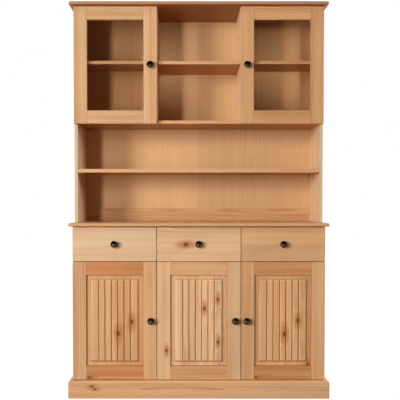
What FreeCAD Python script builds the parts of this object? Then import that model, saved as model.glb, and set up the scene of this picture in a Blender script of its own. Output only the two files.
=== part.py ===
import FreeCAD, Part
import math
import os

# Two-part pine dresser: a plinth, a base with three drawers over three panelled
# doors, a worktop, and a hutch with two glazed doors over an open shelf section.
# Millimetres, +Z up, front towards -Y, origin at the bottom centre of the whole.

# Overall sizes
cabinet_width = 1260
base_depth = 320
hutch_setback = 50
plinth_height = 88
base_door_height = 590
drawer_front_height = 170
open_section_height = 501
cabinet_clear_height = 570

# Boards
side_board = 16
panel_board = 18
worktop_board = 18
cornice_board = 18
base_shelf_board = 18
open_shelf_board = 18
cabinet_shelf_board = 16
hutch_floor_board = 16
back_board = 8
back_rail_board = 16
back_rail_height = 70

# Reveals and gaps between the fronts
front_gap = 3
door_reveal = 1
door_gap = 3
glass_door_top_gap = 2
glass_door_drop = 2
shelf_side_gap = 1

# Projecting edges
plinth_projection = 20
worktop_overhang = 20
worktop_corner_radius = 18
cornice_overhang = 22
cornice_corner_radius = 18
plinth_chamfer = 8

# Rounds on a moulded edge, as shares of the board's thickness
long_round_share = 0.6
short_round_share = 0.28

# Shelves, measured up from the board below
base_shelf_rise = 292
base_shelf_inset = 20
open_shelf_rise = 254
cabinet_shelf_rise = 284
pin_radius = 3.5
pin_reach = 10
pin_inset = 16

# Panelled and glazed doors
door_thickness = 20
stile_width = 66
panel_tongue = 6
panel_groove_depth = 8
panel_groove_setback = 9
field_margin = 22
field_rise = 5
field_bevel = 8
flute_count = 6
flute_pitch = 31.6
flute_width = 10
flute_depth = 4.6
glass_thickness = 4
glass_rebate = 10
glass_lip = 10
glass_edge_gap = 0.5

# Knobs
knob_radius = 17.5
knob_projection = 28
base_knob_inset = 27
glass_knob_inset = 32

# Drawer boxes and their runners
drawer_back_gap = 25
drawer_top_gap = 34
drawer_side_board = 12
drawer_bottom_board = 5
drawer_bottom_rise = 8
drawer_side_gap = 1.5
runner_width = 16
runner_height = 8
running_gap = 0.3

# Cranked hinges set in the back corner of the hinge stile
hinge_inset = 8
hinge_depth = 6.5
hinge_end_distance = 85
hinge_pin_radius = 1.8
hinge_pin_clearance = 0.05
hinge_eye_radius = 3.8
hinge_arm_height = 6
hinge_arm_width = 5
hinge_bend_gap = 2
hinge_slot_gap = 0.3
hinge_cheek = 3
hinge_web_gap = 1.5
hinge_web = 3.5
hinge_eye_gap = 0.4
hinge_plate_start = 6
hinge_plate_length = 45
hinge_plate_height = 34

# The flat on a shelf pin lies this far above its middle, as a share of its radius
pin_flat_share = 0.7

# Knob outline: radius and projection as shares of the knob's own sizes
knob_foot_share = 0.63
knob_foot_depth_share = 0.09
knob_neck_share = 0.36
knob_neck_depth_share = 0.3
knob_head_start_share = 0.48
knob_rim_start_share = 0.6
knob_rim_end_share = 0.67

# One overrun past every face that a cutter goes through, and the tolerance for
# two places or directions being the same
overrun = 1
same = 1e-6

# Places worked out from the sizes above
half_width = cabinet_width / 2
inner_half = half_width - side_board
bays = ("left", "middle", "right")
front_width = (cabinet_width - 2 * door_reveal - (len(bays) - 1) * front_gap) / len(bays)
door_face_y = (knob_projection - door_thickness - door_gap - base_depth) / 2
base_front_y = door_face_y + door_thickness + door_gap
back_y = base_front_y + base_depth
back_panel_y = back_y - back_board
hutch_face_y = door_face_y + hutch_setback
hutch_front_y = base_front_y + hutch_setback
plinth_front_y = door_face_y - plinth_projection
base_door_z = plinth_height + front_gap
drawer_front_z = base_door_z + base_door_height + front_gap
worktop_z = drawer_front_z + drawer_front_height + front_gap
worktop_top_z = worktop_z + worktop_board
deck_z = drawer_front_z - (front_gap + panel_board) / 2
deck_top_z = deck_z + panel_board
hutch_floor_z = worktop_top_z + open_section_height
hutch_floor_top_z = hutch_floor_z + hutch_floor_board
cornice_z = hutch_floor_top_z + cabinet_clear_height
glass_door_z = hutch_floor_z - glass_door_drop
glass_door_height = cornice_z - glass_door_top_gap - glass_door_z
drawer_box_z = deck_top_z + runner_height + running_gap
drawer_box_top_z = worktop_z - drawer_top_gap
drawer_back_y = back_panel_y - drawer_back_gap

# The cup reaches past the arm of a door whose hinges are on a side board
hinge_arm_reach = side_board - door_reveal - hinge_inset + hinge_arm_width
hinge_slot_reach = hinge_arm_reach + hinge_web_gap
hinge_cup_reach = hinge_slot_reach + hinge_web
hinge_arm_bend = door_thickness + door_gap - hinge_depth - hinge_arm_width / 2 - hinge_bend_gap
hinge_slot_half = hinge_arm_height / 2 + hinge_slot_gap
hinge_cup_half = hinge_slot_half + hinge_cheek


def bay_left_x(index):
    """Left edge of the front that closes one bay, counted from the left."""
    return door_reveal - half_width + index * (front_width + front_gap)


# The base dividers stand behind the gaps between fronts
gap_centre_x = -(bay_left_x(1) - front_gap / 2)
divider_outer_x = gap_centre_x + panel_board / 2
divider_inner_x = gap_centre_x - panel_board / 2
bay_walls = (
    (-inner_half, -divider_outer_x),
    (-divider_inner_x, divider_inner_x),
    (divider_outer_x, inner_half),
)

# The hutch dividers stand just behind the free edges of the glazed doors
hutch_divider_inner_x = -bay_left_x(1) + front_gap - door_reveal
hutch_divider_outer_x = hutch_divider_inner_x + side_board
hutch_walls = (
    (-inner_half, -hutch_divider_outer_x),
    (-hutch_divider_inner_x, hutch_divider_inner_x),
    (hutch_divider_outer_x, inner_half),
)


def box(x_span, y_span, z_span):
    """Box between two places along each axis."""
    corner = FreeCAD.Vector(x_span[0], y_span[0], z_span[0])
    return Part.makeBox(x_span[1] - x_span[0], y_span[1] - y_span[0], z_span[1] - z_span[0], corner)


def mirrored(shape):
    """Copy of a shape on the other side of the cabinet's middle plane."""
    return shape.mirror(FreeCAD.Vector(0, 0, 0), FreeCAD.Vector(1, 0, 0))


def pair(shape):
    """A shape and its mirror image, as a left and right pair."""
    return [shape, mirrored(shape)]


def save(name, solids):
    """Write one node; a list becomes a group of separate solids."""
    shape = solids[0] if len(solids) == 1 else Part.makeCompound(solids)
    shape.exportStep(os.path.join("parts", name + ".step"))


def edges_at(shape, direction, places):
    """Straight edges along one axis that lie on all the given planes."""
    found = []
    for edge in shape.Edges:
        start = edge.Vertexes[0].Point
        end = edge.Vertexes[-1].Point
        along = (end - start).normalize()
        if abs(abs(along.dot(direction)) - 1) > same:
            continue
        if all(abs(start.dot(normal) - place) < same for normal, place in places):
            found.append(edge)
    return found


AXIS_X = FreeCAD.Vector(1, 0, 0)
AXIS_Y = FreeCAD.Vector(0, 1, 0)
AXIS_Z = FreeCAD.Vector(0, 0, 1)


def exposed_rim(slab, z):
    """Edges of a slab in the plane at height z, apart from the one along the back."""
    found = []
    for edge in slab.Edges:
        points = [vertex.Point for vertex in edge.Vertexes]
        level = all(abs(point.z - z) < same for point in points)
        along_back = all(abs(point.y - back_y) < same for point in points)
        if level and not along_back:
            found.append(edge)
    return found


def nosed_slab(half_length, front_y, z_span, corner_radius, round_shares):
    """Slab with rounded front corners and its exposed edges rounded below and above."""
    slab = box((-half_length, half_length), (front_y, back_y), z_span)
    slab = slab.makeFillet(corner_radius, edges_at(slab, AXIS_Z, [(AXIS_Y, front_y)]))
    board = z_span[1] - z_span[0]
    for z, share in zip(z_span, round_shares):
        slab = slab.makeFillet(share * board, exposed_rim(slab, z))
    return slab


def plinth():
    """Front board and the two returns, with their outer top edges chamfered."""
    outer = half_width + plinth_projection
    front = box((-outer, outer), (plinth_front_y, door_face_y), (0, plinth_height))
    front_edges = edges_at(front, AXIS_X, [(AXIS_Y, plinth_front_y), (AXIS_Z, plinth_height)])
    for x in (-outer, outer):
        front_edges += edges_at(front, AXIS_Y, [(AXIS_X, x), (AXIS_Z, plinth_height)])
    front = front.makeChamfer(plinth_chamfer, front_edges)
    side = box((half_width, outer), (door_face_y, back_y), (0, plinth_height))
    side_edge = edges_at(side, AXIS_Y, [(AXIS_X, outer), (AXIS_Z, plinth_height)])
    side = side.makeChamfer(plinth_chamfer, side_edge)
    save("plinth_front", [front])
    save("plinth_returns", pair(side))


def base_carcass():
    """Sides, floor, dividers, deck, back and shelves of the base."""
    depth = (base_front_y, back_y)
    inner_depth = (base_front_y, back_panel_y)
    save("base_sides", pair(box((inner_half, half_width), depth, (0, worktop_z))))

    floor_z = (plinth_height - panel_board, plinth_height)
    floor = box((-inner_half, inner_half), (door_face_y, back_y), floor_z)
    lip = box((-half_width, half_width), (door_face_y, base_front_y), floor_z)
    save("base_floor", [floor.fuse(lip).removeSplitter()])

    divider_x = (-divider_outer_x, -divider_inner_x)
    save("base_divider", [box(divider_x, inner_depth, (plinth_height, worktop_z))])
    drawer_divider_x = (divider_inner_x, divider_outer_x)
    save("drawer_divider", [box(drawer_divider_x, inner_depth, (deck_top_z, worktop_z))])

    deck_height = (deck_z, deck_top_z)
    deck_left = box((-inner_half, -divider_outer_x), inner_depth, deck_height)
    deck_right = box((-divider_inner_x, inner_half), inner_depth, deck_height)
    save("drawer_deck", [deck_left, deck_right])

    back_x = (-inner_half, inner_half)
    save("base_back", [box(back_x, (back_panel_y, back_y), (plinth_height, worktop_z))])

    shelf_z = plinth_height + base_shelf_rise
    shelf_y = (base_front_y + base_shelf_inset, back_panel_y)
    shelves = []
    for left, right in ((-inner_half, -divider_outer_x), (-divider_inner_x, inner_half)):
        shelf_x = (left + shelf_side_gap, right - shelf_side_gap)
        shelves.append(box(shelf_x, shelf_y, (shelf_z, shelf_z + base_shelf_board)))
    save("base_shelves", shelves)


def runners():
    """Two strips under each drawer, one against each wall of its bay."""
    strips = []
    depth = (base_front_y, back_panel_y)
    height = (deck_top_z, deck_top_z + runner_height)
    for left, right in bay_walls:
        strips.append(box((left, left + runner_width), depth, height))
        strips.append(box((right - runner_width, right), depth, height))
    save("drawer_runners", strips)


def hutch_carcass():
    """Sides, floor, dividers, shelves, back and rail of the hutch."""
    inner_x = (-inner_half, inner_half)
    inner_depth = (hutch_front_y, back_panel_y)
    side = box((inner_half, half_width), (hutch_front_y, back_y), (worktop_top_z, cornice_z))
    save("hutch_sides", pair(side))
    save("hutch_floor", [box(inner_x, inner_depth, (hutch_floor_z, hutch_floor_top_z))])

    divider_x = (hutch_divider_inner_x, hutch_divider_outer_x)
    save("hutch_dividers", pair(box(divider_x, inner_depth, (hutch_floor_top_z, cornice_z))))

    shelf_z = hutch_floor_top_z + cabinet_shelf_rise
    shelves = []
    for left, right in hutch_walls:
        shelf_x = (left + shelf_side_gap, right - shelf_side_gap)
        shelves.append(box(shelf_x, inner_depth, (shelf_z, shelf_z + cabinet_shelf_board)))
    open_z = worktop_top_z + open_shelf_rise
    open_x = (shelf_side_gap - inner_half, inner_half - shelf_side_gap)
    shelves.append(box(open_x, inner_depth, (open_z, open_z + open_shelf_board)))
    save("hutch_shelves", shelves)

    save("hutch_back", [box(inner_x, (back_panel_y, back_y), (worktop_top_z, cornice_z))])
    rail_y = (back_panel_y - back_rail_board, back_panel_y)
    rail_z = (worktop_top_z, worktop_top_z + back_rail_height)
    save("hutch_back_rail", [box(inner_x, rail_y, rail_z)])


def shelf_pin(wall_x, inward, y, shelf_z):
    """Round pin out of a wall, planed flat where the shelf lies on it."""
    centre = FreeCAD.Vector(wall_x, y, shelf_z - pin_radius * pin_flat_share)
    pin = Part.makeCylinder(pin_radius, pin_reach, centre, AXIS_X * inward)
    x_span = (wall_x - pin_reach - overrun, wall_x + pin_reach + overrun)
    y_span = (y - pin_radius - overrun, y + pin_radius + overrun)
    return pin.cut(box(x_span, y_span, (shelf_z, shelf_z + pin_radius)))


def shelf_pins():
    """Four pins under every shelf, two in each wall of its bay."""
    base_walls = ((-inner_half, -divider_outer_x), (-divider_inner_x, inner_half))
    base_front = base_front_y + base_shelf_inset
    rows = [(walls, base_front, plinth_height + base_shelf_rise) for walls in base_walls]
    rows.append(((-inner_half, inner_half), hutch_front_y, worktop_top_z + open_shelf_rise))
    rows += [(walls, hutch_front_y, hutch_floor_top_z + cabinet_shelf_rise) for walls in hutch_walls]
    pins = []
    for (left, right), shelf_front_y, shelf_z in rows:
        for y in (shelf_front_y + pin_inset, back_panel_y - pin_inset):
            pins.append(shelf_pin(left, 1, y, shelf_z))
            pins.append(shelf_pin(right, -1, y, shelf_z))
    save("shelf_pins", pins)


def knob(x, face_y, z):
    """Turned mushroom knob standing on a front."""
    def at(radius_share, depth_share):
        return FreeCAD.Vector(x + knob_radius * radius_share, face_y - knob_projection * depth_share, z)

    # The dome is part of a sphere about a point on the axis
    dome_height = knob_projection * (1 - knob_rim_end_share)
    dome_radius = (knob_radius ** 2 + dome_height ** 2) / (2 * dome_height)
    dome_turn = math.asin(knob_radius / dome_radius) / 2
    dome_mid_share = dome_radius * math.sin(dome_turn) / knob_radius
    dome_mid_depth_share = 1 - dome_radius * (1 - math.cos(dome_turn)) / knob_projection
    neck_mid_share = (knob_foot_share + knob_neck_share) / 2
    neck_mid_depth_share = (knob_foot_depth_share + knob_neck_depth_share) / 2
    curve_share = (knob_foot_share - knob_neck_share) / 4
    neck_end = at(knob_neck_share, knob_head_start_share)
    outline = [
        Part.LineSegment(at(0, 1), at(0, 0)),
        Part.LineSegment(at(0, 0), at(knob_foot_share, 0)),
        Part.LineSegment(at(knob_foot_share, 0), at(knob_foot_share, knob_foot_depth_share)),
        Part.Arc(
            at(knob_foot_share, knob_foot_depth_share),
            at(neck_mid_share - curve_share, neck_mid_depth_share),
            at(knob_neck_share, knob_neck_depth_share),
        ),
        Part.LineSegment(at(knob_neck_share, knob_neck_depth_share), neck_end),
        Part.LineSegment(neck_end, at(1, knob_rim_start_share)),
        Part.LineSegment(at(1, knob_rim_start_share), at(1, knob_rim_end_share)),
        Part.Arc(at(1, knob_rim_end_share), at(dome_mid_share, dome_mid_depth_share), at(0, 1)),
    ]
    face = Part.Face(Part.Wire([piece.toShape() for piece in outline]))
    return face.revolve(FreeCAD.Vector(x, face_y, z), AXIS_Y, 360)


def hinge_heights(door_z, door_height):
    """Heights of the two hinges of a door."""
    return (door_z + hinge_end_distance, door_z + door_height - hinge_end_distance)


def cup_box(edge_x, inward, face_y, z):
    """Block of the back corner of a stile that a hinge cup fills."""
    x_span = sorted((edge_x, edge_x + inward * (hinge_inset + hinge_cup_reach)))
    front = face_y + hinge_depth - hinge_eye_radius - hinge_eye_gap
    return box(x_span, (front, face_y + door_thickness), (z - hinge_cup_half, z + hinge_cup_half))


def hinge_cup(edge_x, inward, face_y, z):
    """Cup with two cheeks and a web, bored for the hinge pin."""
    cup = cup_box(edge_x, inward, face_y, z)
    pivot_x = edge_x + inward * hinge_inset
    slot_x = sorted((edge_x - inward * overrun, pivot_x + inward * hinge_slot_reach))
    slot_y = (face_y, face_y + door_thickness + overrun)
    cup = cup.cut(box(slot_x, slot_y, (z - hinge_slot_half, z + hinge_slot_half)))
    bore_half = hinge_cup_half + overrun
    bore_foot = FreeCAD.Vector(pivot_x, face_y + hinge_depth, z - bore_half)
    bore = Part.makeCylinder(hinge_pin_radius + hinge_pin_clearance, 2 * bore_half, bore_foot)
    return cup.cut(bore)


def hinge_arm(pivot_x, inward, face_y, wall_x, z):
    """Cranked arm from the pin's eye to a plate on the wall's inner face."""
    pivot_y = face_y + hinge_depth
    foot_z = z - hinge_arm_height / 2
    eye_foot = FreeCAD.Vector(pivot_x, pivot_y, foot_z)
    eye = Part.makeCylinder(hinge_eye_radius, hinge_arm_height, eye_foot)
    strap_x = wall_x + inward * hinge_arm_width / 2
    bend_y = pivot_y + hinge_arm_bend
    run = math.hypot(strap_x - pivot_x, hinge_arm_bend)
    neck = Part.makeBox(run, hinge_arm_width, hinge_arm_height, FreeCAD.Vector(0, -hinge_arm_width / 2, 0))
    slope = math.degrees(math.atan2(bend_y - pivot_y, strap_x - pivot_x))
    neck.Placement = FreeCAD.Placement(eye_foot, FreeCAD.Rotation(AXIS_Z, slope)).multiply(neck.Placement)
    bend_foot = FreeCAD.Vector(strap_x, bend_y, foot_z)
    bend = Part.makeCylinder(hinge_arm_width / 2, hinge_arm_height, bend_foot)
    wall_front_y = face_y + door_thickness + door_gap
    plate_y = wall_front_y + hinge_plate_start
    strap_span = sorted((wall_x, wall_x + inward * hinge_arm_width))
    strap = box(strap_span, (bend_y, plate_y + hinge_plate_length), (foot_z, foot_z + hinge_arm_height))
    plate_x = sorted((wall_x, wall_x + inward * hinge_arm_width / 2))
    plate_z = (z - hinge_plate_height / 2, z + hinge_plate_height / 2)
    plate = box(plate_x, (plate_y, plate_y + hinge_plate_length), plate_z)
    arm = eye.fuse([neck, bend, strap, plate]).removeSplitter()
    return arm.cut(Part.makeCylinder(hinge_pin_radius, hinge_arm_height, eye_foot))


def hinge_pin(pivot_x, face_y, z):
    """Pin through both cheeks of the cup and the arm's eye."""
    foot = FreeCAD.Vector(pivot_x, face_y + hinge_depth, z - hinge_cup_half)
    return Part.makeCylinder(hinge_pin_radius, 2 * hinge_cup_half, foot)


def door_stiles(x_span, face_y, z_span, grooves, cups):
    """Two stiles, less the groove or rebate and the hinge notches."""
    left, right = x_span
    depth = (face_y, face_y + door_thickness)
    stiles = [
        box((left, left + stile_width), depth, z_span),
        box((right - stile_width, right), depth, z_span),
    ]
    cutters = grooves + cups
    return [stile.cut(cutters).removeSplitter() for stile in stiles]


def door_rails(x_span, face_y, z_span, tongue_depth, tongue_y, channel):
    """Two rails whose stub tenons fill the ends of the stiles' channels."""
    left, right = x_span
    rails = []
    for low in (z_span[0], z_span[1] - stile_width):
        z_rail = (low, low + stile_width)
        body = box((left + stile_width, right - stile_width), (face_y, face_y + door_thickness), z_rail)
        body = body.cut(channel)
        tenon_x = (left + stile_width - tongue_depth, right - stile_width + tongue_depth)
        tenon = box(tenon_x, tongue_y, z_rail).cut(channel)
        rails.append(body.fuse(tenon).removeSplitter())
    return rails


def fluted_panel(opening_x, opening_z, face_y):
    """Panel with a tongue all round and a raised, bevelled, fluted field."""
    tongue_y = (face_y + panel_groove_setback, face_y + panel_groove_setback + panel_tongue)
    board_x = (opening_x[0] - panel_groove_depth, opening_x[1] + panel_groove_depth)
    board_z = (opening_z[0] - panel_groove_depth, opening_z[1] + panel_groove_depth)
    board = box(board_x, tongue_y, board_z)
    left, right = opening_x[0] + field_margin, opening_x[1] - field_margin
    low, high = opening_z[0] + field_margin, opening_z[1] - field_margin
    field_y = tongue_y[0] - field_rise
    field = Part.makeWedge(
        left + field_bevel, field_y, low + field_bevel, low, left,
        right - field_bevel, tongue_y[0], high - field_bevel, high, right,
    )
    panel = board.fuse(field)
    first_x = (left + right - (flute_count - 1) * flute_pitch) / 2
    for index in range(flute_count):
        panel = panel.cut(flute(first_x + index * flute_pitch, field_y, (low, high)))
    return panel.removeSplitter()


def flute(x, front_y, z_span):
    """V-shaped cutter along the field, with its root flute_depth below the face."""
    half = flute_width / 2
    lead = half * overrun / flute_depth
    points = [
        FreeCAD.Vector(x - half - lead, front_y - overrun, z_span[0]),
        FreeCAD.Vector(x, front_y + flute_depth, z_span[0]),
        FreeCAD.Vector(x + half + lead, front_y - overrun, z_span[0]),
    ]
    profile = Part.Face(Part.makePolygon(points + points[:1]))
    return profile.extrude(FreeCAD.Vector(0, 0, z_span[1] - z_span[0]))


def base_door(name, x_span, inward):
    """Panelled door of the base; inward is +1 with its hinges on the left."""
    z_span = (base_door_z, base_door_z + base_door_height)
    opening_x = (x_span[0] + stile_width, x_span[1] - stile_width)
    opening_z = (z_span[0] + stile_width, z_span[1] - stile_width)
    tongue_y = (door_face_y + panel_groove_setback, door_face_y + panel_groove_setback + panel_tongue)
    groove_x = (opening_x[0] - panel_groove_depth, opening_x[1] + panel_groove_depth)
    groove_z = (opening_z[0] - panel_groove_depth, opening_z[1] + panel_groove_depth)
    full_groove = box(groove_x, tongue_y, z_span)
    panel_groove = box(groove_x, tongue_y, groove_z)
    edge_x = x_span[0] if inward > 0 else x_span[1]
    heights = hinge_heights(base_door_z, base_door_height)
    notches = [cup_box(edge_x, inward, door_face_y, z) for z in heights]
    save(name + "_stiles", door_stiles(x_span, door_face_y, z_span, [full_groove], notches))
    rails = door_rails(x_span, door_face_y, z_span, panel_groove_depth, tongue_y, panel_groove)
    save(name + "_rails", rails)
    save(name + "_panel", [fluted_panel(opening_x, opening_z, door_face_y)])
    save(name + "_hinge_cups", [hinge_cup(edge_x, inward, door_face_y, z) for z in heights])
    knob_x = x_span[1] - base_knob_inset if inward > 0 else x_span[0] + base_knob_inset
    save(name + "_knob", [knob(knob_x, door_face_y, base_door_z + base_door_height / 2)])


def glass_door(name, x_span, inward):
    """Glazed door of the hutch; inward is +1 with its hinges on the left."""
    z_span = (glass_door_z, glass_door_z + glass_door_height)
    opening_x = (x_span[0] + stile_width, x_span[1] - stile_width)
    opening_z = (z_span[0] + stile_width, z_span[1] - stile_width)
    rebate_y = (hutch_face_y + glass_lip, hutch_face_y + door_thickness)
    rebate_x = (opening_x[0] - glass_rebate, opening_x[1] + glass_rebate)
    rebate_z = (opening_z[0] - glass_rebate, opening_z[1] + glass_rebate)
    full_rebate = box(rebate_x, rebate_y, z_span)
    pane_rebate = box(rebate_x, rebate_y, rebate_z)
    edge_x = x_span[0] if inward > 0 else x_span[1]
    heights = hinge_heights(glass_door_z, glass_door_height)
    notches = [cup_box(edge_x, inward, hutch_face_y, z) for z in heights]
    save(name + "_stiles", door_stiles(x_span, hutch_face_y, z_span, [full_rebate], notches))
    save(name + "_rails", door_rails(x_span, hutch_face_y, z_span, glass_rebate, rebate_y, pane_rebate))

    pane_x = (rebate_x[0] + glass_edge_gap, rebate_x[1] - glass_edge_gap)
    pane_z = (rebate_z[0] + glass_edge_gap, rebate_z[1] - glass_edge_gap)
    bead_y = (rebate_y[0] + glass_thickness, rebate_y[1])
    save(name + "_pane", [box(pane_x, (rebate_y[0], bead_y[0]), pane_z)])
    beads = [
        box((rebate_x[0], opening_x[0]), bead_y, rebate_z),
        box((opening_x[1], rebate_x[1]), bead_y, rebate_z),
        box(opening_x, bead_y, (rebate_z[0], opening_z[0])),
        box(opening_x, bead_y, (opening_z[1], rebate_z[1])),
    ]
    save(name + "_beads", beads)
    save(name + "_hinge_cups", [hinge_cup(edge_x, inward, hutch_face_y, z) for z in heights])
    knob_x = x_span[1] - glass_knob_inset if inward > 0 else x_span[0] + glass_knob_inset
    save(name + "_knob", [knob(knob_x, hutch_face_y, glass_door_z + glass_door_height / 2)])


def drawer(name, x_span, walls):
    """Drawer with an overlaid front, a three-sided box and a bottom."""
    box_front_y = door_face_y + door_thickness
    left, right = walls[0] + drawer_side_gap, walls[1] - drawer_side_gap
    z_span = (drawer_box_z, drawer_box_top_z)
    front_z = (drawer_front_z, drawer_front_z + drawer_front_height)
    save(name + "_front", [box(x_span, (door_face_y, box_front_y), front_z)])
    inner_x = (left + drawer_side_board, right - drawer_side_board)
    inner_back_y = drawer_back_y - drawer_side_board
    sides = [
        box((left, inner_x[0]), (box_front_y, drawer_back_y), z_span),
        box((inner_x[1], right), (box_front_y, drawer_back_y), z_span),
        box(inner_x, (inner_back_y, drawer_back_y), z_span),
    ]
    save(name + "_box", sides)
    bottom_low_z = drawer_box_z + drawer_bottom_rise
    bottom_z = (bottom_low_z, bottom_low_z + drawer_bottom_board)
    save(name + "_bottom", [box(inner_x, (box_front_y, inner_back_y), bottom_z)])
    knob_z = drawer_front_z + drawer_front_height / 2
    save(name + "_knob", [knob((x_span[0] + x_span[1]) / 2, door_face_y, knob_z)])


def bay_span(index):
    """Left and right edges of one bay's front."""
    left = bay_left_x(index)
    return (left, left + front_width)


def hinges(doors):
    """Arms and pins of every door: edge, inward sign, face, wall, heights."""
    arms = []
    pins = []
    for edge_x, inward, face_y, wall_x, heights in doors:
        pivot_x = edge_x + inward * hinge_inset
        for z in heights:
            arms.append(hinge_arm(pivot_x, inward, face_y, wall_x, z))
            pins.append(hinge_pin(pivot_x, face_y, z))
    save("hinge_arms", arms)
    save("hinge_pins", pins)


def build():
    os.makedirs("parts", exist_ok=True)
    plinth()
    base_carcass()
    runners()
    worktop_front_y = door_face_y - worktop_overhang
    worktop_half = half_width + worktop_overhang
    worktop_span = (worktop_z, worktop_top_z)
    worktop_rounds = (short_round_share, long_round_share)
    worktop = nosed_slab(worktop_half, worktop_front_y, worktop_span, worktop_corner_radius,
                         worktop_rounds)
    save("worktop", [worktop])
    hutch_carcass()
    cornice_front_y = hutch_face_y - cornice_overhang
    cornice_half = half_width + cornice_overhang
    cornice_span = (cornice_z, cornice_z + cornice_board)
    cornice_rounds = (long_round_share, short_round_share)
    cornice = nosed_slab(cornice_half, cornice_front_y, cornice_span, cornice_corner_radius,
                         cornice_rounds)
    save("cornice", [cornice])
    shelf_pins()

    for index, bay in enumerate(bays):
        drawer("drawer_" + bay, bay_span(index), bay_walls[index])
    left, middle, right = bay_span(0), bay_span(1), bay_span(2)
    base_door("door_left", left, 1)
    base_door("door_middle", middle, 1)
    base_door("door_right", right, -1)
    glass_door("glass_door_left", left, 1)
    glass_door("glass_door_right", right, -1)

    base_heights = hinge_heights(base_door_z, base_door_height)
    glass_heights = hinge_heights(glass_door_z, glass_door_height)
    hinges([
        (left[0], 1, door_face_y, -inner_half, base_heights),
        (middle[0], 1, door_face_y, -divider_inner_x, base_heights),
        (right[1], -1, door_face_y, inner_half, base_heights),
        (left[0], 1, hutch_face_y, -inner_half, glass_heights),
        (right[1], -1, hutch_face_y, inner_half, glass_heights),
    ])


build()
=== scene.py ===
import math

import bmesh
import bpy
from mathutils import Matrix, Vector


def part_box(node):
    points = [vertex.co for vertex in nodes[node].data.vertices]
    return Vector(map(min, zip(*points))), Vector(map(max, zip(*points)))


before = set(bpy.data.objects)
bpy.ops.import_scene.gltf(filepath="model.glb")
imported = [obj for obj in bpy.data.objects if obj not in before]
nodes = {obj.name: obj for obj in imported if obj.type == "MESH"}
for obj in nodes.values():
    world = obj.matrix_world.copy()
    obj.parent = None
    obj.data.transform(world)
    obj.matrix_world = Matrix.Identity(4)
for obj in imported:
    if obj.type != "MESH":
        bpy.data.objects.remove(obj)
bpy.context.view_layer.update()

MILLIMETRE = 0.001

# The photograph, in pixels, and the camera that took it, in metres and radians
PHOTO_PIXELS = 400
FOCAL_PIXELS = 614.3
AXIS_COLUMN, AXIS_ROW = 188.5, 215.4
SENSOR = 0.036
CAMERA_PLACE = (-0.0515, -3.212, 0.9856)
CAMERA_PITCH = 0.02394

# Pine tones, linear
PALE = (0.79, 0.515, 0.305)
HONEY = (0.72, 0.425, 0.225)
STRAW = (0.66, 0.385, 0.195)
BLOND = (0.675, 0.43, 0.245)
AMBER = (0.64, 0.335, 0.155)
RUSSET = (0.60, 0.29, 0.125)
# A darker tone for the cornice that paints in the shade on its front: painted shade
SHADED_CORNICE_TONE = (0.46, 0.235, 0.122)
BOARD_BACK = (0.725, 0.455, 0.238)
FADED = (0.71, 0.50, 0.32)
# Painted shade: darker, redder tones laid on the faces that look down
PAINTED_UNDER_SHADE = (0.56, 0.18, 0.038)
PAINTED_DEEP_UNDER_SHADE = (0.36, 0.11, 0.022)
# Dark wax in the rails' joints, and painted shade in the panels' flutes, creases and recesses
WAX_AND_SHADE_DARK = (0.40, 0.120, 0.010)
KNOT_HEART = (0.17, 0.05, 0.012)
KNOT_HALO = (0.42, 0.14, 0.04)

# What late wood and warm streaks leave of a board's tone, and how much of each is laid on
LATE_KEEPS, LATE_SHARE = (0.66, 0.47, 0.34), 0.50
WARM_KEEPS, WARM_SHARE = (0.86, 0.64, 0.45), 0.34
UNCHANGED = (1.0, 1.0, 1.0)
BLOTCH_SHARE = 0.05
TINT_SWING = 0.16
FIBRE_SWING = 0.16
HALO_SHARE, HEART_SHARE = 0.70, 0.92

# Growth rings lie about a pith below the board, which wanders along the grain. Each strip is
# cut at another place along the trunk, and each seed at another depth. All in metres
PITH_DEPTH, PITH_DEPTH_SWING = 0.07, 0.07
PITH_SIDE_SWING = 0.09
WANDER_SWING = 0.050
RIPPLE_SWING = 0.010
TRUNK_LENGTH = 7.0
SEED_STEP = 0.37

# Noises of the wood: waves in a metre along and across the grain, shift, detail, roughness
PITH_WANDER = (0.9, 2.0, 0.0, 1.0, 0.5)
RING_RIPPLE = (2.6, 34.0, 3.1, 2.0, 0.5)
RING_FADING = (1.1, 22.0, 8.7, 2.0, 0.5)
FIBRES = (14.0, 620.0, 1.7, 3.0, 0.6)
STREAKS = (0.9, 42.0, 5.3, 3.0, 0.55)
BLOTCHES = (3.2, 9.0, 2.9, 2.0, 0.5)

# From where to where a mark comes up: shares of a ring for late wood, noise for the others
LATE_RISE, LATE_FALL = (0.30, 0.88), (1.0, 0.92)
FADING_RANGE, FAINTEST_RING = (0.30, 0.72), 0.35
STREAK_RANGE = (0.38, 0.72)
BLOTCH_RANGE = (0.35, 0.70)

# A knot's ragged outline in waves to a metre, how much its length counts, its reach in radii
RAGGED_ALONG, RAGGED_ACROSS, RAGGED_SWING = 130.0, 420.0, 0.9
HEART_LENGTH, HEART_REACH = 0.72, (1.25, 0.55)
HALO_LENGTH, HALO_REACH = 0.40, (3.0, 0.7)
BULGE_REACH = 2.4

# How strongly a board's figure shows, 1 being usual
FAINT_FIGURE = 0.55
SOFT_FIGURE = 0.7
USUAL_FIGURE = 1.0
PANEL_FIGURE = 1.2
CLEAR_FIGURE = 1.3
STILE_FIGURE = 1.5
RAIL_FIGURE = 1.8

# How far aside the pith lies, which makes the rings run straight, in metres
FLAT_SAWN = 0.0
RIFT_SAWN = 0.055
DRAWER_SAWN = 0.12
QUARTER_SAWN = 0.32

# Growth rings, glued strips and eased edges, in metres
RING_SPACING = 0.0046
WIDE_SPACING = 0.013
GLUED_STRIP = 0.085
ONE_BOARD = 4.0
BEVEL_WIDTH = 0.0008
WELD_REACH = 0.01 * MILLIMETRE
BEVEL_ANGLE = math.radians(35)

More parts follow.
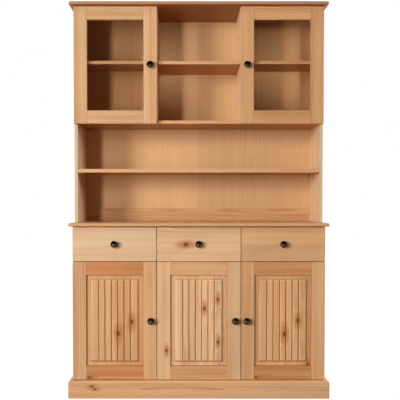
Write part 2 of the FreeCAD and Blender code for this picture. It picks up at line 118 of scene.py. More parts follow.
# The wood's waxed skin
WAXED_ROUGHNESS = 0.42
WORKTOP_ROUGHNESS = 0.30
WAX_GLOSS = {"Specular_IOR_Level": 0.32, "Coat_Weight": 0.10, "Coat_Roughness": 0.28}
GRAIN_BUMP = {"Strength": 0.35, "Distance": 0.12 * MILLIMETRE}
FIBRE_RELIEF = 0.6

# How far up a face's normal points where the painted shade of undersides begins and where it is
# full
LOOKS_DOWN = (-0.4, -0.9)

# How boards are laid up: rift-sawn strips glued edge to edge, or plain quarter-sawn backs
GLUED = {"strip": GLUED_STRIP, "quarter": RIFT_SAWN}
PLAIN_BACK = {"quarter": QUARTER_SAWN, "spacing": WIDE_SPACING, "contrast": FAINT_FIGURE}

# A node's axes as along, across and through the board, by the axis that the grain follows
AXIS_ORDER = {"x": ("X", "Z", "Y"), "z": ("Z", "X", "Y"), "y": ("Y", "Z", "X"),
              "xy": ("X", "Y", "Z"), "zy": ("Z", "Y", "X")}

# Half sizes of the base doors' openings and raised fields, in metres
OPENING_HALF_WIDTH, OPENING_HALF_HEIGHT = 0.14267, 0.229
FIELD_HALF_WIDTH, FIELD_HALF_HEIGHT = 0.12067, 0.207
FIELD_BEVEL = 0.008
PANEL_FRONT_DEPTH = 0.0055

# Dark wax and painted shade on the base doors: how deep or wide it lies, in metres, and its
# greatest share
# The flutes, the frame's edges, the field's foot, the sill and one margin get painted shade; the
# rails' joints get real wax
FLUTE_SHADE_START, FLUTE_ROOT, FLUTE_SHADE_SHARE = 0.0020, 0.0044, 0.88
JOINT_LINE, JOINT_SHARE = 0.0024, 0.9
FRAME_LINE, FRAME_SHADOW_SHARE = 0.0070, 0.95
FIELD_LINE, FIELD_SHADE_SHARE = 0.0026, 0.85
SILL_SHADE_SHARE = 0.55
MARGIN_SHADE_SHARES = {"left": 0.20, "middle": 0.10, "right": 0.22}

# Knots as (along, across, radius) from each piece's centre, in metres
PLINTH_KNOTS = ((-0.533, 0.018, 0.006), (-0.518, 0.004, 0.005))
DRAWER_KNOTS = {"left": (), "middle": ((-0.064, -0.002, 0.0105),), "right": ()}
PANEL_KNOTS = {
    "left": ((-0.005, 0.085, 0.0095), (-0.065, 0.018, 0.0105)),
    "middle": ((0.061, 0.028, 0.0075), (0.106, 0.095, 0.0070), (-0.108, 0.096, 0.0075)),
    "right": ((0.0, 0.076, 0.0095), (-0.067, 0.009, 0.0105), (-0.221, 0.126, 0.0070)),
}
RAIL_KNOTS = {"left": ((-0.126, -0.285, 0.007),), "middle": (), "right": ((-0.136, -0.285, 0.007),)}
STILE_KNOTS = {"left": (), "middle": ((-0.149, -0.161, 0.007),), "right": ()}

# First seed of each row of like pieces, and how much further a door's rails are
DRAWER_FRONT_SEED, DRAWER_BOX_SEED, DRAWER_BOTTOM_SEED = 21.3, 25.1, 29.4
DOOR_FRAME_SEED, DOOR_PANEL_SEED = 31.7, 39.6
GLASS_FRAME_SEED, GLASS_BEAD_SEED = 43.1, 51.8
RAIL_SEED_STEP = 0.5

DRAWER_TONES = {"left": FADED, "middle": PALE, "right": HONEY}
DOOR_TONES = {"left": HONEY, "middle": PALE, "right": HONEY}
RAIL_TONES = {"left": RUSSET, "middle": HONEY, "right": AMBER}
GLASS_DOOR_TONES = {"left": BLOND, "right": STRAW}

# Metals: tone, tone where rubbed, roughness and how fine the wear is
BRONZE = ((0.020, 0.012, 0.007), (0.26, 0.17, 0.10), 0.34, 120.0)
PIN_BRONZE = ((0.20, 0.12, 0.06), (0.42, 0.28, 0.15), 0.45, 300.0)
NICKEL = ((0.48, 0.47, 0.44), (0.66, 0.65, 0.62), 0.34, 90.0)
BRIGHT_STEEL = ((0.55, 0.55, 0.55), (0.72, 0.72, 0.72), 0.26, 160.0)
METAL_ENDINGS = ("_knob", "_cups", "_arms", "_pins")
WEAR_CLOUD, WEAR_SWING = (4.0, 0.6), 0.3
CLOUD_RANGE, EDGE_RANGE = (0.42, 0.75), (0.49, 0.56)
CAST_BUMP = {"Strength": 0.25, "Distance": 0.1 * MILLIMETRE}

GLASS_TINT = (0.95, 0.91, 0.86, 1.0)
GLASS_SHADOW_TINT = (0.93, 0.91, 0.88, 1.0)
GLASS_IOR = 1.45
GLASS_WAVES, GLASS_BUMP = 7.0, {"Strength": 0.05, "Distance": MILLIMETRE}

# The studio, where a strength of 1 is white; gloss mirrors a dark room in front of the object
WHITE = (1.0, 1.0, 1.0, 1.0)
LAMP_WHITE = (1.0, 0.98, 0.95)
ROOM_GLOW = 0.06
ROOM_EDGE = 0.15
FILL_TINT, FILL_STRENGTH = (1.0, 0.85, 0.65, 1.0), 0.006
FLOOR_HALF = 9.0
FLOOR_TINT = (0.135, 0.11, 0.08, 1.0)
FLOOR_GLOW, FLOOR_GLOW_SHARE = 1.08, 0.93
SPOT_RADIUS = 0.12

# Which sockets of a Mix node hold its share and two colours, and which its colour result
COLOUR_MIX_INPUTS, COLOUR_MIX_RESULT = (0, 6, 7), 2


class Graph:
    """Short forms for adding and linking shader nodes in one tree."""

    def __init__(self, tree):
        self.tree = tree
        tree.nodes.clear()

    def feed(self, socket, value):
        """Links a socket to a value that comes from a node, or sets a plain value on it."""
        if isinstance(value, bpy.types.NodeSocket):
            self.tree.links.new(value, socket)
        elif value is not None:
            socket.default_value = value

    def node(self, kind, settings=None, **inputs):
        """Adds a node; an input's name has _ in place of each space."""
        made = self.tree.nodes.new(kind)
        for name, value in (settings or {}).items():
            setattr(made, name, value)
        for name, value in inputs.items():
            self.feed(made.inputs[name.replace("_", " ")], value)
        return made

    def math(self, operation, *values):
        made = self.tree.nodes.new("ShaderNodeMath")
        made.operation = operation
        for socket, value in zip(made.inputs, values):
            self.feed(socket, value)
        return made.outputs[0]

    def vector(self, x, y, z):
        return self.node("ShaderNodeCombineXYZ", X=x, Y=y, Z=z).outputs[0]

    def place(self):
        """The place on the node, in its own metres."""
        return self.node("ShaderNodeTexCoord").outputs["Object"]

    def scaled_place(self, scale):
        made = self.node("ShaderNodeVectorMath", {"operation": "SCALE"})
        self.feed(made.inputs[0], self.place())
        made.inputs["Scale"].default_value = scale
        return made.outputs[0]

    def ramp(self, value, low, high, start=0.0, end=1.0):
        """Smooth step of value from low to high, as start to end."""
        made = self.node("ShaderNodeMapRange", {"interpolation_type": "SMOOTHSTEP"})
        for name, given in (("Value", value), ("From Min", low), ("From Max", high),
                            ("To Min", start), ("To Max", end)):
            self.feed(made.inputs[name], given)
        return made.outputs["Result"]

    def swing(self, value, reach, middle=0.0):
        """A value from 0 to 1, as middle give or take half of reach."""
        return self.math("MULTIPLY_ADD", value, reach, middle - reach / 2)

    def length(self, first, second):
        """Length of the diagonal over two sides."""
        squares = self.math("ADD", self.math("POWER", first, 2.0), self.math("POWER", second, 2.0))
        return self.math("SQRT", squares)

    def greatest(self, first, *others):
        for other in others:
            first = self.math("MAXIMUM", first, other)
        return first

    def noise(self, vector, detail, roughness=0.5):
        made = self.node("ShaderNodeTexNoise", Vector=vector, Scale=1.0, Detail=detail,
                         Roughness=roughness)
        return made.outputs["Fac"]

    def mix(self, share, first, second, blend="MIX"):
        made = self.node("ShaderNodeMix", {"data_type": "RGBA", "blend_type": blend})
        for number, value in zip(COLOUR_MIX_INPUTS, (share, first, second)):
            self.feed(made.inputs[number], value)
        return made.outputs[COLOUR_MIX_RESULT]

    def mix_shaders(self, share, first, second):
        made = self.node("ShaderNodeMixShader")
        for socket, value in zip(made.inputs, (share, first.outputs[0], second.outputs[0])):
            self.feed(socket, value)
        return made


def new_material(name):
    """Empty material and the graph of its shader."""
    material = bpy.data.materials.new(name)
    material.use_nodes = True
    return material, Graph(material.node_tree)


def new_group(name, inputs, outputs):
    """Shader group with number inputs and outputs; returns it with its graph and end sockets."""
    tree = bpy.data.node_groups.new(name, "ShaderNodeTree")
    for label, default in inputs:
        socket = tree.interface.new_socket(name=label, in_out="INPUT",
                                           socket_type="NodeSocketFloat")
        socket.default_value = default
    for label in outputs:
        tree.interface.new_socket(name=label, in_out="OUTPUT", socket_type="NodeSocketFloat")
    graph = Graph(tree)
    entry = tree.nodes.new("NodeGroupInput")
    leave = tree.nodes.new("NodeGroupOutput")
    return tree, graph, entry.outputs, leave.inputs


def knot_group():
    """A branch knot: how dark its heart is, its halo, and how far it bends the rings round it."""
    inputs = [("Along", 0), ("Across", 0), ("Knot Along", 0), ("Knot Across", 0),
              ("Radius", 0.005)]
    tree, g, given, result = new_group("knot", inputs, ["Heart", "Halo", "Bulge"])
    along = g.math("SUBTRACT", given["Along"], given["Knot Along"])
    across = g.math("SUBTRACT", given["Across"], given["Knot Across"])
    ragged = g.noise(g.vector(g.math("MULTIPLY", along, RAGGED_ALONG),
                              g.math("MULTIPLY", across, RAGGED_ACROSS), 0.0), 2.0)
    rough_edge = g.swing(ragged, RAGGED_SWING)

    def radii_away(lengthwise):
        away = g.length(g.math("MULTIPLY", along, lengthwise), across)
        return g.math("ADD", g.math("DIVIDE", away, given["Radius"]), rough_edge)

    share = radii_away(HEART_LENGTH)
    g.feed(result["Heart"], g.ramp(share, *HEART_REACH))
    g.feed(result["Halo"], g.ramp(radii_away(HALO_LENGTH), *HALO_REACH))
    squared = g.math("POWER", g.math("DIVIDE", share, BULGE_REACH), 2.0)
    fall = g.math("EXPONENT", g.math("MULTIPLY", squared, -1.0))
    push = g.math("MULTIPLY", given["Radius"], BULGE_REACH)
    g.feed(result["Bulge"], g.math("MULTIPLY", fall, push))
    return tree


def late_wood(g, distance, spacing):
    """Late wood of the growth rings: it darkens slowly outwards and ends sharply."""
    turn = g.math("FRACT", g.math("DIVIDE", distance, spacing))
    return g.math("MULTIPLY", g.ramp(turn, *LATE_RISE), g.ramp(turn, *LATE_FALL))


def strips(g, given):
    """Three numbers that white noise draws for a strip, and the place across from its middle."""
    strip = g.math("FLOOR", g.math("DIVIDE", given["Across"], given["Strip"]))
    chance = g.node("ShaderNodeTexWhiteNoise", {"noise_dimensions": "2D"},
                    Vector=g.vector(strip, given["Seed"], 0.0))
    drawn = g.node("ShaderNodeSeparateColor", Color=chance.outputs["Color"]).outputs
    middle = g.math("MULTIPLY", g.math("ADD", strip, 0.5), given["Strip"])
    has_strips = g.math("LESS_THAN", given["Strip"], 1.0)
    across = g.math("SUBTRACT", given["Across"], g.math("MULTIPLY", middle, has_strips))
    return drawn, across


def pine_group():
    """Sawn pine: growth rings about a pith that runs along the grain, fibres and streaks.

    Strips lie side by side, each cut at a place of the trunk that is drawn for it.
    """
    inputs = [("Along", 0), ("Across", 0), ("Deep", 0), ("Seed", 0), ("Strip", ONE_BOARD),
              ("Bulge", 0), ("Spacing", RING_SPACING), ("Quarter", FLAT_SAWN)]
    outputs = ["Ring", "Fibre", "Streak", "Tint", "Blotch"]
    tree, g, given, result = new_group("pine", inputs, outputs)
    drawn, across = strips(g, given)
    along = g.math("ADD", given["Along"], g.math("MULTIPLY", drawn["Red"], TRUNK_LENGTH))
    deep = g.math("ADD", given["Deep"], g.math("MULTIPLY", given["Seed"], SEED_STEP))

    def figure(lengthwise, sidewise, shift, detail, roughness):
        return g.noise(g.vector(g.math("MULTIPLY_ADD", along, lengthwise, shift),
                                g.math("MULTIPLY_ADD", across, sidewise, shift),
                                g.math("MULTIPLY", deep, sidewise)), detail, roughness)

    pith_side = g.math("ADD", g.swing(drawn["Green"], PITH_SIDE_SWING), given["Quarter"])
    pith_depth = g.swing(drawn["Blue"], PITH_DEPTH_SWING, PITH_DEPTH)
    wander = g.swing(figure(*PITH_WANDER), WANDER_SWING)
    ripple = g.swing(figure(*RING_RIPPLE), RIPPLE_SWING)
    side = g.math("ADD", g.math("SUBTRACT", across, pith_side), ripple)
    below = g.math("ADD", g.math("ADD", given["Deep"], pith_depth), wander)
    distance = g.math("ADD", g.length(side, below), given["Bulge"])
    strength = g.ramp(figure(*RING_FADING), *FADING_RANGE, FAINTEST_RING, 1.0)
    ring = g.math("MULTIPLY", late_wood(g, distance, given["Spacing"]), strength)

    g.feed(result["Ring"], ring)
    g.feed(result["Fibre"], figure(*FIBRES))
    g.feed(result["Streak"], g.ramp(figure(*STREAKS), *STREAK_RANGE))
    g.feed(result["Tint"], drawn["Green"])
    g.feed(result["Blotch"], g.ramp(figure(*BLOTCHES), *BLOTCH_RANGE))
    return tree


PINE = pine_group()
KNOT = knot_group()


def knots_seen(g, along, across, knots):
    """How far a board's knots bend its rings, and where their hearts and halos are."""
    bulge, heart, halo = 0.0, 0.0, 0.0
    for knot_along, knot_across, radius in knots:
        made = g.node("ShaderNodeGroup", {"node_tree": KNOT}, Along=along, Across=across,
                      Knot_Along=knot_along, Knot_Across=knot_across, Radius=radius)
        bulge = g.math("ADD", bulge, made.outputs["Bulge"])
        heart = g.math("MAXIMUM", heart, made.outputs["Heart"])
        halo = g.math("MAXIMUM", halo, made.outputs["Halo"])
    return bulge, heart, halo


def pine_colour(g, figure, tone, contrast):
    """Tone of the board with its late wood, warm streaks, blotches and fibres."""
    shade = g.math("ADD", g.swing(figure["Tint"], TINT_SWING, 1.0),
                   g.swing(figure["Fibre"], FIBRE_SWING))
    blotch = g.math("MULTIPLY", figure["Blotch"], BLOTCH_SHARE * contrast)
    shade = g.math("SUBTRACT", shade, blotch)
    colour = g.mix(1.0, tone, g.vector(shade, shade, shade), "MULTIPLY")
    for mark, share, kept in (("Ring", LATE_SHARE, LATE_KEEPS), ("Streak", WARM_SHARE, WARM_KEEPS)):
        laid = g.math("MULTIPLY", figure[mark], share * contrast)
        stain = g.mix(laid, (*UNCHANGED, 1.0), (*kept, 1.0))
        colour = g.mix(1.0, colour, stain, "MULTIPLY")
    return colour


def tone_with_painted_under_shade(g, tone, under):
    """A board's tone, and a darker, redder one painted as shade on the faces that look down."""
    normal = g.node("ShaderNodeNewGeometry").outputs["Normal"]
    faces = g.node("ShaderNodeSeparateXYZ", Vector=normal)
    return g.mix(g.ramp(faces.outputs["Z"], *LOOKS_DOWN), tone, (*under, 1.0))


def waxed_skin(g, colour, figure, roughness):
    """The board's surface, on which late wood lies lower than the fibres."""
    fibres = g.math("MULTIPLY", figure["Fibre"], FIBRE_RELIEF)
    bump = g.node("ShaderNodeBump", Height=g.math("SUBTRACT", fibres, figure["Ring"]), **GRAIN_BUMP)
    skin = g.node("ShaderNodeBsdfPrincipled", Base_Color=colour, Normal=bump.outputs[0],
                  Roughness=g.swing(figure["Fibre"], FIBRE_SWING, roughness), **WAX_GLOSS)
    g.node("ShaderNodeOutputMaterial", Surface=skin.outputs[0])


def pine(name, centre, grain, seed, tone, strip=ONE_BOARD, knots=(), contrast=USUAL_FIGURE,
         roughness=WAXED_ROUGHNESS, quarter=FLAT_SAWN, spacing=RING_SPACING, under=None, wax=None):
    """Waxed pine with its grain along one axis.

    grain names the axis along the boards, and a second letter the axis across them where
    that isn't the usual one; knots are (along, across, radius) from the centre, in metres.
    quarter moves the pith aside, and spacing is the width of a ring. The tone for faces that
    look down is painted shade, and the last argument gives the share of dark joint wax and
    painted shade from the place on the board.
    """
    material, g = new_material(name)
    shifted = g.node("ShaderNodeVectorMath", {"operation": "SUBTRACT"})
    g.feed(shifted.inputs[0], g.place())
    shifted.inputs[1].default_value = centre
    parts = g.node("ShaderNodeSeparateXYZ", Vector=shifted.outputs[0]).outputs
    along, across, deep = (parts[axis] for axis in AXIS_ORDER[grain])
    bulge, heart, halo = knots_seen(g, along, across, knots)
    figure = g.node("ShaderNodeGroup", {"node_tree": PINE}, Along=along, Across=across, Deep=deep,
                    Seed=seed, Strip=strip, Bulge=bulge, Quarter=quarter, Spacing=spacing).outputs

    tone = (*tone, 1.0)
    # Painted shade laid on the faces that look down
    if under:
        tone = tone_with_painted_under_shade(g, tone, under)
    colour = pine_colour(g, figure, tone, contrast)
    if knots:
        colour = g.mix(g.math("MULTIPLY", halo, HALO_SHARE), colour, (*KNOT_HALO, 1.0))
        colour = g.mix(g.math("MULTIPLY", heart, HEART_SHARE), colour, (*KNOT_HEART, 1.0))
    # Dark joint wax and painted shade, laid on by the share that the place gives
    if wax:
        colour = g.mix(wax(g, parts), colour, (*WAX_AND_SHADE_DARK, 1.0))
    waxed_skin(g, colour, figure, roughness)
    return material


def rail_wax(g, parts):
    """Dark wax in the joints at both ends of a rail."""
    from_middle = g.math("ABSOLUTE", parts["X"])
    return g.ramp(from_middle, OPENING_HALF_WIDTH - JOINT_LINE, OPENING_HALF_WIDTH,
                  0.0, JOINT_SHARE)


def panel_wax(half_depth, margin_shade_share):
    """Painted shade at a panel's frame, round its raised field, in its flutes, on its sill and on
    one margin.
    """
    def share(g, parts):
        wide, high = g.math("ABSOLUTE", parts["X"]), g.math("ABSOLUTE", parts["Z"])
        stile_shadow = g.ramp(wide, OPENING_HALF_WIDTH - FRAME_LINE, OPENING_HALF_WIDTH,
                           0.0, FRAME_SHADOW_SHARE)
        rail_shadow = g.ramp(high, OPENING_HALF_HEIGHT - FRAME_LINE, OPENING_HALF_HEIGHT,
                          0.0, FRAME_SHADOW_SHARE)
        outside = g.math("MAXIMUM", g.math("SUBTRACT", wide, FIELD_HALF_WIDTH),
                         g.math("SUBTRACT", high, FIELD_HALF_HEIGHT))
        foot_shade = g.ramp(g.math("ABSOLUTE", outside), FIELD_LINE, 0.0, 0.0, FIELD_SHADE_SHARE)
        on_field = g.ramp(outside, 0.0, -FIELD_BEVEL)
        depth = g.math("ADD", parts["Y"], half_depth)
        flute_shade = g.math("MULTIPLY", g.ramp(depth, FLUTE_SHADE_START, FLUTE_ROOT, 0.0, FLUTE_SHADE_SHARE),
                        on_field)
        margin_shade = g.ramp(parts["X"], FIELD_HALF_WIDTH - FIELD_LINE, FIELD_HALF_WIDTH,
                        0.0, margin_shade_share)
        sill_shade = g.ramp(parts["Z"], FIELD_BEVEL - FIELD_HALF_HEIGHT, -FIELD_HALF_HEIGHT,
                      0.0, SILL_SHADE_SHARE)
        sill_shade = g.math("MULTIPLY", sill_shade, g.math("LESS_THAN", outside, 0.0))
        on_front = g.ramp(depth, PANEL_FRONT_DEPTH + FIELD_LINE, PANEL_FRONT_DEPTH)
        deepest_shade = g.greatest(stile_shadow, rail_shadow, foot_shade, flute_shade, margin_shade, sill_shade)
        return g.math("MULTIPLY", deepest_shade, on_front)
    return share


def metal(name, tone, rubbed, roughness, fineness):
    """Cast or pressed metal whose raised places are rubbed brighter."""
    material, g = new_material(name)
    cloud = g.noise(g.scaled_place(fineness), *WEAR_CLOUD)
    edge = g.ramp(g.node("ShaderNodeNewGeometry").outputs["Pointiness"], *EDGE_RANGE)
    wear = g.math("MULTIPLY", g.math("ADD", g.ramp(cloud, *CLOUD_RANGE), edge), 0.5)
    bump = g.node("ShaderNodeBump", Height=cloud, **CAST_BUMP)
    skin = g.node("ShaderNodeBsdfPrincipled", Metallic=1.0, Normal=bump.outputs[0],
                  Base_Color=g.mix(wear, (*tone, 1.0), (*rubbed, 1.0)),
                  Roughness=g.swing(cloud, WEAR_SWING, roughness))
    g.node("ShaderNodeOutputMaterial", Surface=skin.outputs[0])
    return material


def clear_glass():
    """Thin float glass that lets lamp light through, with a faint waviness."""
    material, g = new_material("clear_glass_sheet")
    wave = g.noise(g.scaled_place(GLASS_WAVES), 1.0)
    bump = g.node("ShaderNodeBump", Height=wave, **GLASS_BUMP)
    skin = g.node("ShaderNodeBsdfPrincipled", Normal=bump.outputs[0], Base_Color=GLASS_TINT,
                  Roughness=0.0, IOR=GLASS_IOR, Transmission_Weight=1.0)
    through = g.node("ShaderNodeBsdfTransparent", Color=GLASS_SHADOW_TINT)
    path = g.node("ShaderNodeLightPath").outputs
    unseen = g.greatest(path["Is Diffuse Ray"], path["Is Glossy Ray"], path["Is Shadow Ray"])
    sheet = g.mix_shaders(unseen, skin, through)
    g.node("ShaderNodeOutputMaterial", Surface=sheet.outputs[0])
    return material


def centre_of(name):
    low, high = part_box(name)
    return (low + high) / 2


def dress(name, material):
    """Gives a CAD node its material."""
    slots = nodes[name].data.materials
    slots.clear()
    slots.append(material)


def ease_edges(name):
    """Rounds a board's sharp edges a little, as sanding does."""
    modifiers = nodes[name].modifiers
    weld = modifiers.new("weld", "WELD")
    weld.merge_threshold = WELD_REACH
    bevel = modifiers.new("eased_edges", "BEVEL")
    bevel.width = BEVEL_WIDTH
    bevel.segments = 2
    bevel.limit_method = "ANGLE"
    bevel.angle_limit = BEVEL_ANGLE
    bevel.miter_outer = "MITER_ARC"
    normals = modifiers.new("flat_faces", "WEIGHTED_NORMAL")
    normals.keep_sharp = False


def board(name, grain, seed, tone, **kind):
    """Dresses a wooden node and eases its edges; seed picks the log it is sawn from."""
    dress(name, pine(name + "_pine", centre_of(name), grain, seed, tone, **kind))
    ease_edges(name)


def dress_carcass():
    board("plinth_front", "x", 1.3, HONEY, contrast=CLEAR_FIGURE, knots=PLINTH_KNOTS)
    board("plinth_returns", "y", 2.1, HONEY)
    board("base_sides", "zy", 3.7, HONEY, contrast=SOFT_FIGURE, **GLUED)
    board("base_floor", "xy", 4.9, HONEY, **GLUED)
    board("base_divider", "zy", 5.2, HONEY, **GLUED)
    board("drawer_divider", "zy", 6.8, HONEY, **GLUED)
    board("drawer_deck", "xy", 7.4, HONEY, **GLUED)
    board("drawer_runners", "y", 8.6, AMBER)
    board("base_back", "z", 9.5, BOARD_BACK, **PLAIN_BACK)
    board("base_shelves", "xy", 10.7, HONEY, **GLUED)
    # The worktop, hutch floor, shelves and cornice carry painted shade on the faces that look down
    board("worktop", "xy", 11.9, STRAW, under=PAINTED_UNDER_SHADE, roughness=WORKTOP_ROUGHNESS, **GLUED)
    board("hutch_sides", "zy", 12.4, FADED, contrast=SOFT_FIGURE, **GLUED)
    board("hutch_floor", "xy", 13.8, HONEY, under=PAINTED_UNDER_SHADE, **GLUED)
    board("hutch_dividers", "zy", 14.1, FADED, **GLUED)
    board("hutch_shelves", "xy", 15.6, HONEY, under=PAINTED_UNDER_SHADE, **GLUED)
    board("hutch_back", "z", 16.2, BOARD_BACK, **PLAIN_BACK)
    board("hutch_back_rail", "x", 17.7, STRAW, contrast=CLEAR_FIGURE)
    # The cornice's darker tone and its darker undersides are painted shade
    board("cornice", "xy", 18.3, SHADED_CORNICE_TONE, under=PAINTED_DEEP_UNDER_SHADE, **GLUED)


def dress_drawers():
    for count, (bay, tone) in enumerate(DRAWER_TONES.items()):
        name = "drawer_" + bay
        board(name + "_front", "x", DRAWER_FRONT_SEED + count, tone, knots=DRAWER_KNOTS[bay],
              quarter=DRAWER_SAWN)
        board(name + "_box", "y", DRAWER_BOX_SEED + count, HONEY)
        board(name + "_bottom", "xy", DRAWER_BOTTOM_SEED + count, BOARD_BACK, strip=GLUED_STRIP)


def dress_frame(name, seed, stile_tone, rail_tone, stile_knots=(), rail_knots=()):
    """Upright and level boards round a door's opening."""
    low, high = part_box(name + "_stiles")
    half = (high.x - low.x) / 2
    board(name + "_stiles", "z", seed, stile_tone, strip=half, contrast=STILE_FIGURE,
          knots=stile_knots)
    board(name + "_rails", "x", seed + RAIL_SEED_STEP, rail_tone, strip=half,
          contrast=RAIL_FIGURE, knots=rail_knots, wax=rail_wax)


def dress_panel(name, seed, bay):
    """The fluted panel of a base door, whose edges stay sharp."""
    low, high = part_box(name)
    # Painted shade in the panel's flutes, creases and recesses
    wax = panel_wax((high.y - low.y) / 2, MARGIN_SHADE_SHARES[bay])
    dress(name, pine(name + "_pine", centre_of(name), "z", seed, DOOR_TONES[bay],
                     strip=GLUED_STRIP, knots=PANEL_KNOTS[bay], contrast=PANEL_FIGURE, wax=wax))


def dress_doors():
    for count, (bay, tone) in enumerate(DOOR_TONES.items()):
        name = "door_" + bay
        dress_frame(name, DOOR_FRAME_SEED + count, tone, RAIL_TONES[bay], STILE_KNOTS[bay],
                    RAIL_KNOTS[bay])
        dress_panel(name + "_panel", DOOR_PANEL_SEED + count, bay)
    for count, (side, tone) in enumerate(GLASS_DOOR_TONES.items()):
        name = "glass_door_" + side
        dress_frame(name, GLASS_FRAME_SEED + count, tone, tone)
        board(name + "_beads", "z", GLASS_BEAD_SEED + count, HONEY)


def dress_fittings():
    bronze = metal("antique_bronze", *BRONZE)
    pin_bronze = metal("pin_bronze", *PIN_BRONZE)
    nickel = metal("nickel_plate", *NICKEL)
    bright = metal("bright_steel", *BRIGHT_STEEL)
    glass = clear_glass()
    for name in nodes:
        if name.endswith("_knob"):
            dress(name, bronze)
        elif name.endswith("_pane"):
            dress(name, glass)
        elif name.endswith("_hinge_cups") or name == "hinge_arms":
            dress(name, nickel)
    dress("hinge_pins", bright)
    dress("shelf_pins", pin_bronze)


def add_to_scene(thing):
    bpy.context.scene.collection.objects.link(thing)


def hang(name, lamp, place, target, watts):
    """Hangs a lamp at a place so that it faces a point; returns its object.

    Gloss doesn't mirror it: a board or pane seen along its face would show a white sheet.
    """
    lamp.energy = watts
    lamp.color = LAMP_WHITE
    hung = bpy.data.objects.new(name, lamp)
    add_to_scene(hung)
    hung.location = place
    hung.visible_glossy = False
    ahead = Vector(target) - hung.location
    hung.rotation_euler = ahead.to_track_quat("-Z", "Y").to_euler()
    return hung


def softbox(name, place, target, size, watts):
    """Rectangular lamp of a width and a height."""
    lamp = bpy.data.lights.new(name, "AREA")
    lamp.shape = "RECTANGLE"
    lamp.size, lamp.size_y = size
    return hang(name, lamp, place, target, watts)


def spotlight(name, place, target, degrees, watts):
    """Round lamp with a soft-edged beam so many degrees wide."""
    lamp = bpy.data.lights.new(name, "SPOT")
    lamp.spot_size = math.radians(degrees)
    lamp.spot_blend = 1.0
    lamp.shadow_soft_size = SPOT_RADIUS
    return hang(name, lamp, place, target, watts)


def keep_to(lamps, *endings):
    """Lets lamps light only the nodes whose names end so."""
    lit = bpy.data.collections.new("lit" + endings[0])
    for name in nodes:
        if name.endswith(endings):
            lit.objects.link(nodes[name])
    for lamp in lamps:
        lamp.light_linking.receiver_collection = lit


def studio_lights():
    """Two lamps from the left, one nearly in the plane of the fronts, and weaker ones.

    Two spotlights bring the hutch's back board up, and the glint is for the metal alone.
    """
    softbox("key", place=(-1.66, -3.2, 1.60), target=(2.4, -0.1, 1.20), size=(0.42, 1.9),
            watts=67.0)
    softbox("wide_key", place=(-5.9, -5.1, 2.0), target=(0.2, -0.1, 1.0), size=(1.7, 2.2),
            watts=410.0)
    softbox("right_side", place=(4.6, -0.80, 1.9), target=(0.0, -0.1, 1.1), size=(0.6, 1.0),
            watts=140.0)
    softbox("overhead", place=(-0.4, -1.5, 4.3), target=(0.0, -0.1, 0.9), size=(2.0, 1.0),
            watts=22.0)
    middle = spotlight("bay_middle", place=(1.15, -3.0, 1.70), target=(-0.17, 0.17, 1.72),
                       degrees=7.5, watts=178.0)
    right = spotlight("bay_right", place=(0.75, -3.1, 1.70), target=(0.44, 0.17, 1.70),
                      degrees=9.6, watts=205.0)
    glint = softbox("glint", place=(-1.6, -2.3, 0.20), target=(0.0, -0.15, 0.9),
                    size=(0.5, 0.3), watts=48.0)
    glint.visible_glossy = True
    softbox("back_fill", place=(2.0, 4.4, 2.2), target=(0.2, 0.2, 0.9), size=(2.5, 2.0),
            watts=200.0)
    keep_to((middle, right), "hutch_back")
    keep_to((glint,), *METAL_ENDINGS)


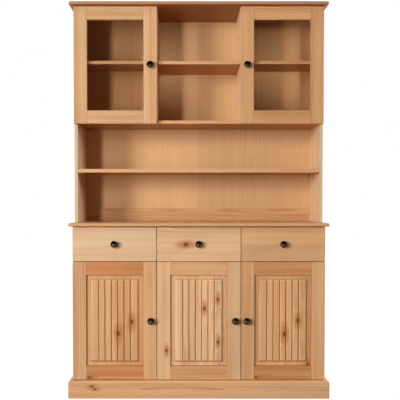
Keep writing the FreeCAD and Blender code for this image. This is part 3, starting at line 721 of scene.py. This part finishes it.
def studio_world():
    """White to the eye and a dim fill for the rest; gloss mirrors a dark room in front."""
    world = bpy.data.worlds.new("studio")
    bpy.context.scene.world = world
    world.use_nodes = True
    g = Graph(world.node_tree)
    path = g.node("ShaderNodeLightPath").outputs
    direction = g.node("ShaderNodeTexCoord").outputs["Generated"]
    ways = g.node("ShaderNodeSeparateXYZ", Vector=direction).outputs
    backdrop = g.ramp(ways["Y"], -ROOM_EDGE, ROOM_EDGE, ROOM_GLOW, 1.0)
    mirrored = g.math("MULTIPLY", backdrop, path["Is Glossy Ray"])
    seen = g.greatest(path["Is Camera Ray"], mirrored, path["Is Transmission Ray"])
    fill = g.node("ShaderNodeBackground", Color=FILL_TINT, Strength=FILL_STRENGTH)
    white = g.node("ShaderNodeBackground", Color=WHITE, Strength=1.0)
    both = g.mix_shaders(seen, fill, white)
    g.node("ShaderNodeOutputWorld", Surface=both.outputs[0])


def floor_paper():
    """Paper that glows white to the eye, and to rays that glass or a mirror passes on to it."""
    material, g = new_material("floor_paper")
    paper = g.node("ShaderNodeBsdfDiffuse", Color=FLOOR_TINT)
    glow = g.node("ShaderNodeEmission", Color=WHITE, Strength=FLOOR_GLOW)
    path = g.node("ShaderNodeLightPath").outputs
    seen = g.greatest(path["Is Camera Ray"], path["Is Glossy Ray"], path["Is Transmission Ray"])
    lit = g.mix_shaders(g.math("MULTIPLY", seen, FLOOR_GLOW_SHARE), paper, glow)
    g.node("ShaderNodeOutputMaterial", Surface=lit.outputs[0])
    return material


def studio_floor():
    """Plain pale floor that keeps the object's shadow."""
    sheet = bmesh.new()
    corners = [(-FLOOR_HALF, -FLOOR_HALF), (FLOOR_HALF, -FLOOR_HALF),
               (FLOOR_HALF, FLOOR_HALF), (-FLOOR_HALF, FLOOR_HALF)]
    sheet.faces.new([sheet.verts.new((x, y, 0.0)) for x, y in corners])
    mesh = bpy.data.meshes.new("studio_floor")
    sheet.to_mesh(mesh)
    sheet.free()
    mesh.materials.append(floor_paper())
    floor = bpy.data.objects.new("studio_floor", mesh)
    add_to_scene(floor)


def photo_camera():
    """The photograph's camera, whose axis passes beside the middle of the frame."""
    lens = bpy.data.cameras.new("photo_camera")
    lens.sensor_width = SENSOR / MILLIMETRE
    lens.lens = lens.sensor_width * FOCAL_PIXELS / PHOTO_PIXELS
    lens.shift_x = (PHOTO_PIXELS / 2 - AXIS_COLUMN) / PHOTO_PIXELS
    lens.shift_y = (AXIS_ROW - PHOTO_PIXELS / 2) / PHOTO_PIXELS
    camera = bpy.data.objects.new("photo_camera", lens)
    add_to_scene(camera)
    camera.location = CAMERA_PLACE
    camera.rotation_euler = (math.pi / 2 - CAMERA_PITCH, 0.0, 0.0)
    bpy.context.scene.camera = camera


dress_carcass()
dress_drawers()
dress_doors()
dress_fittings()
studio_world()
studio_floor()
studio_lights()
photo_camera()
bpy.context.scene.view_settings.view_transform = "Standard"
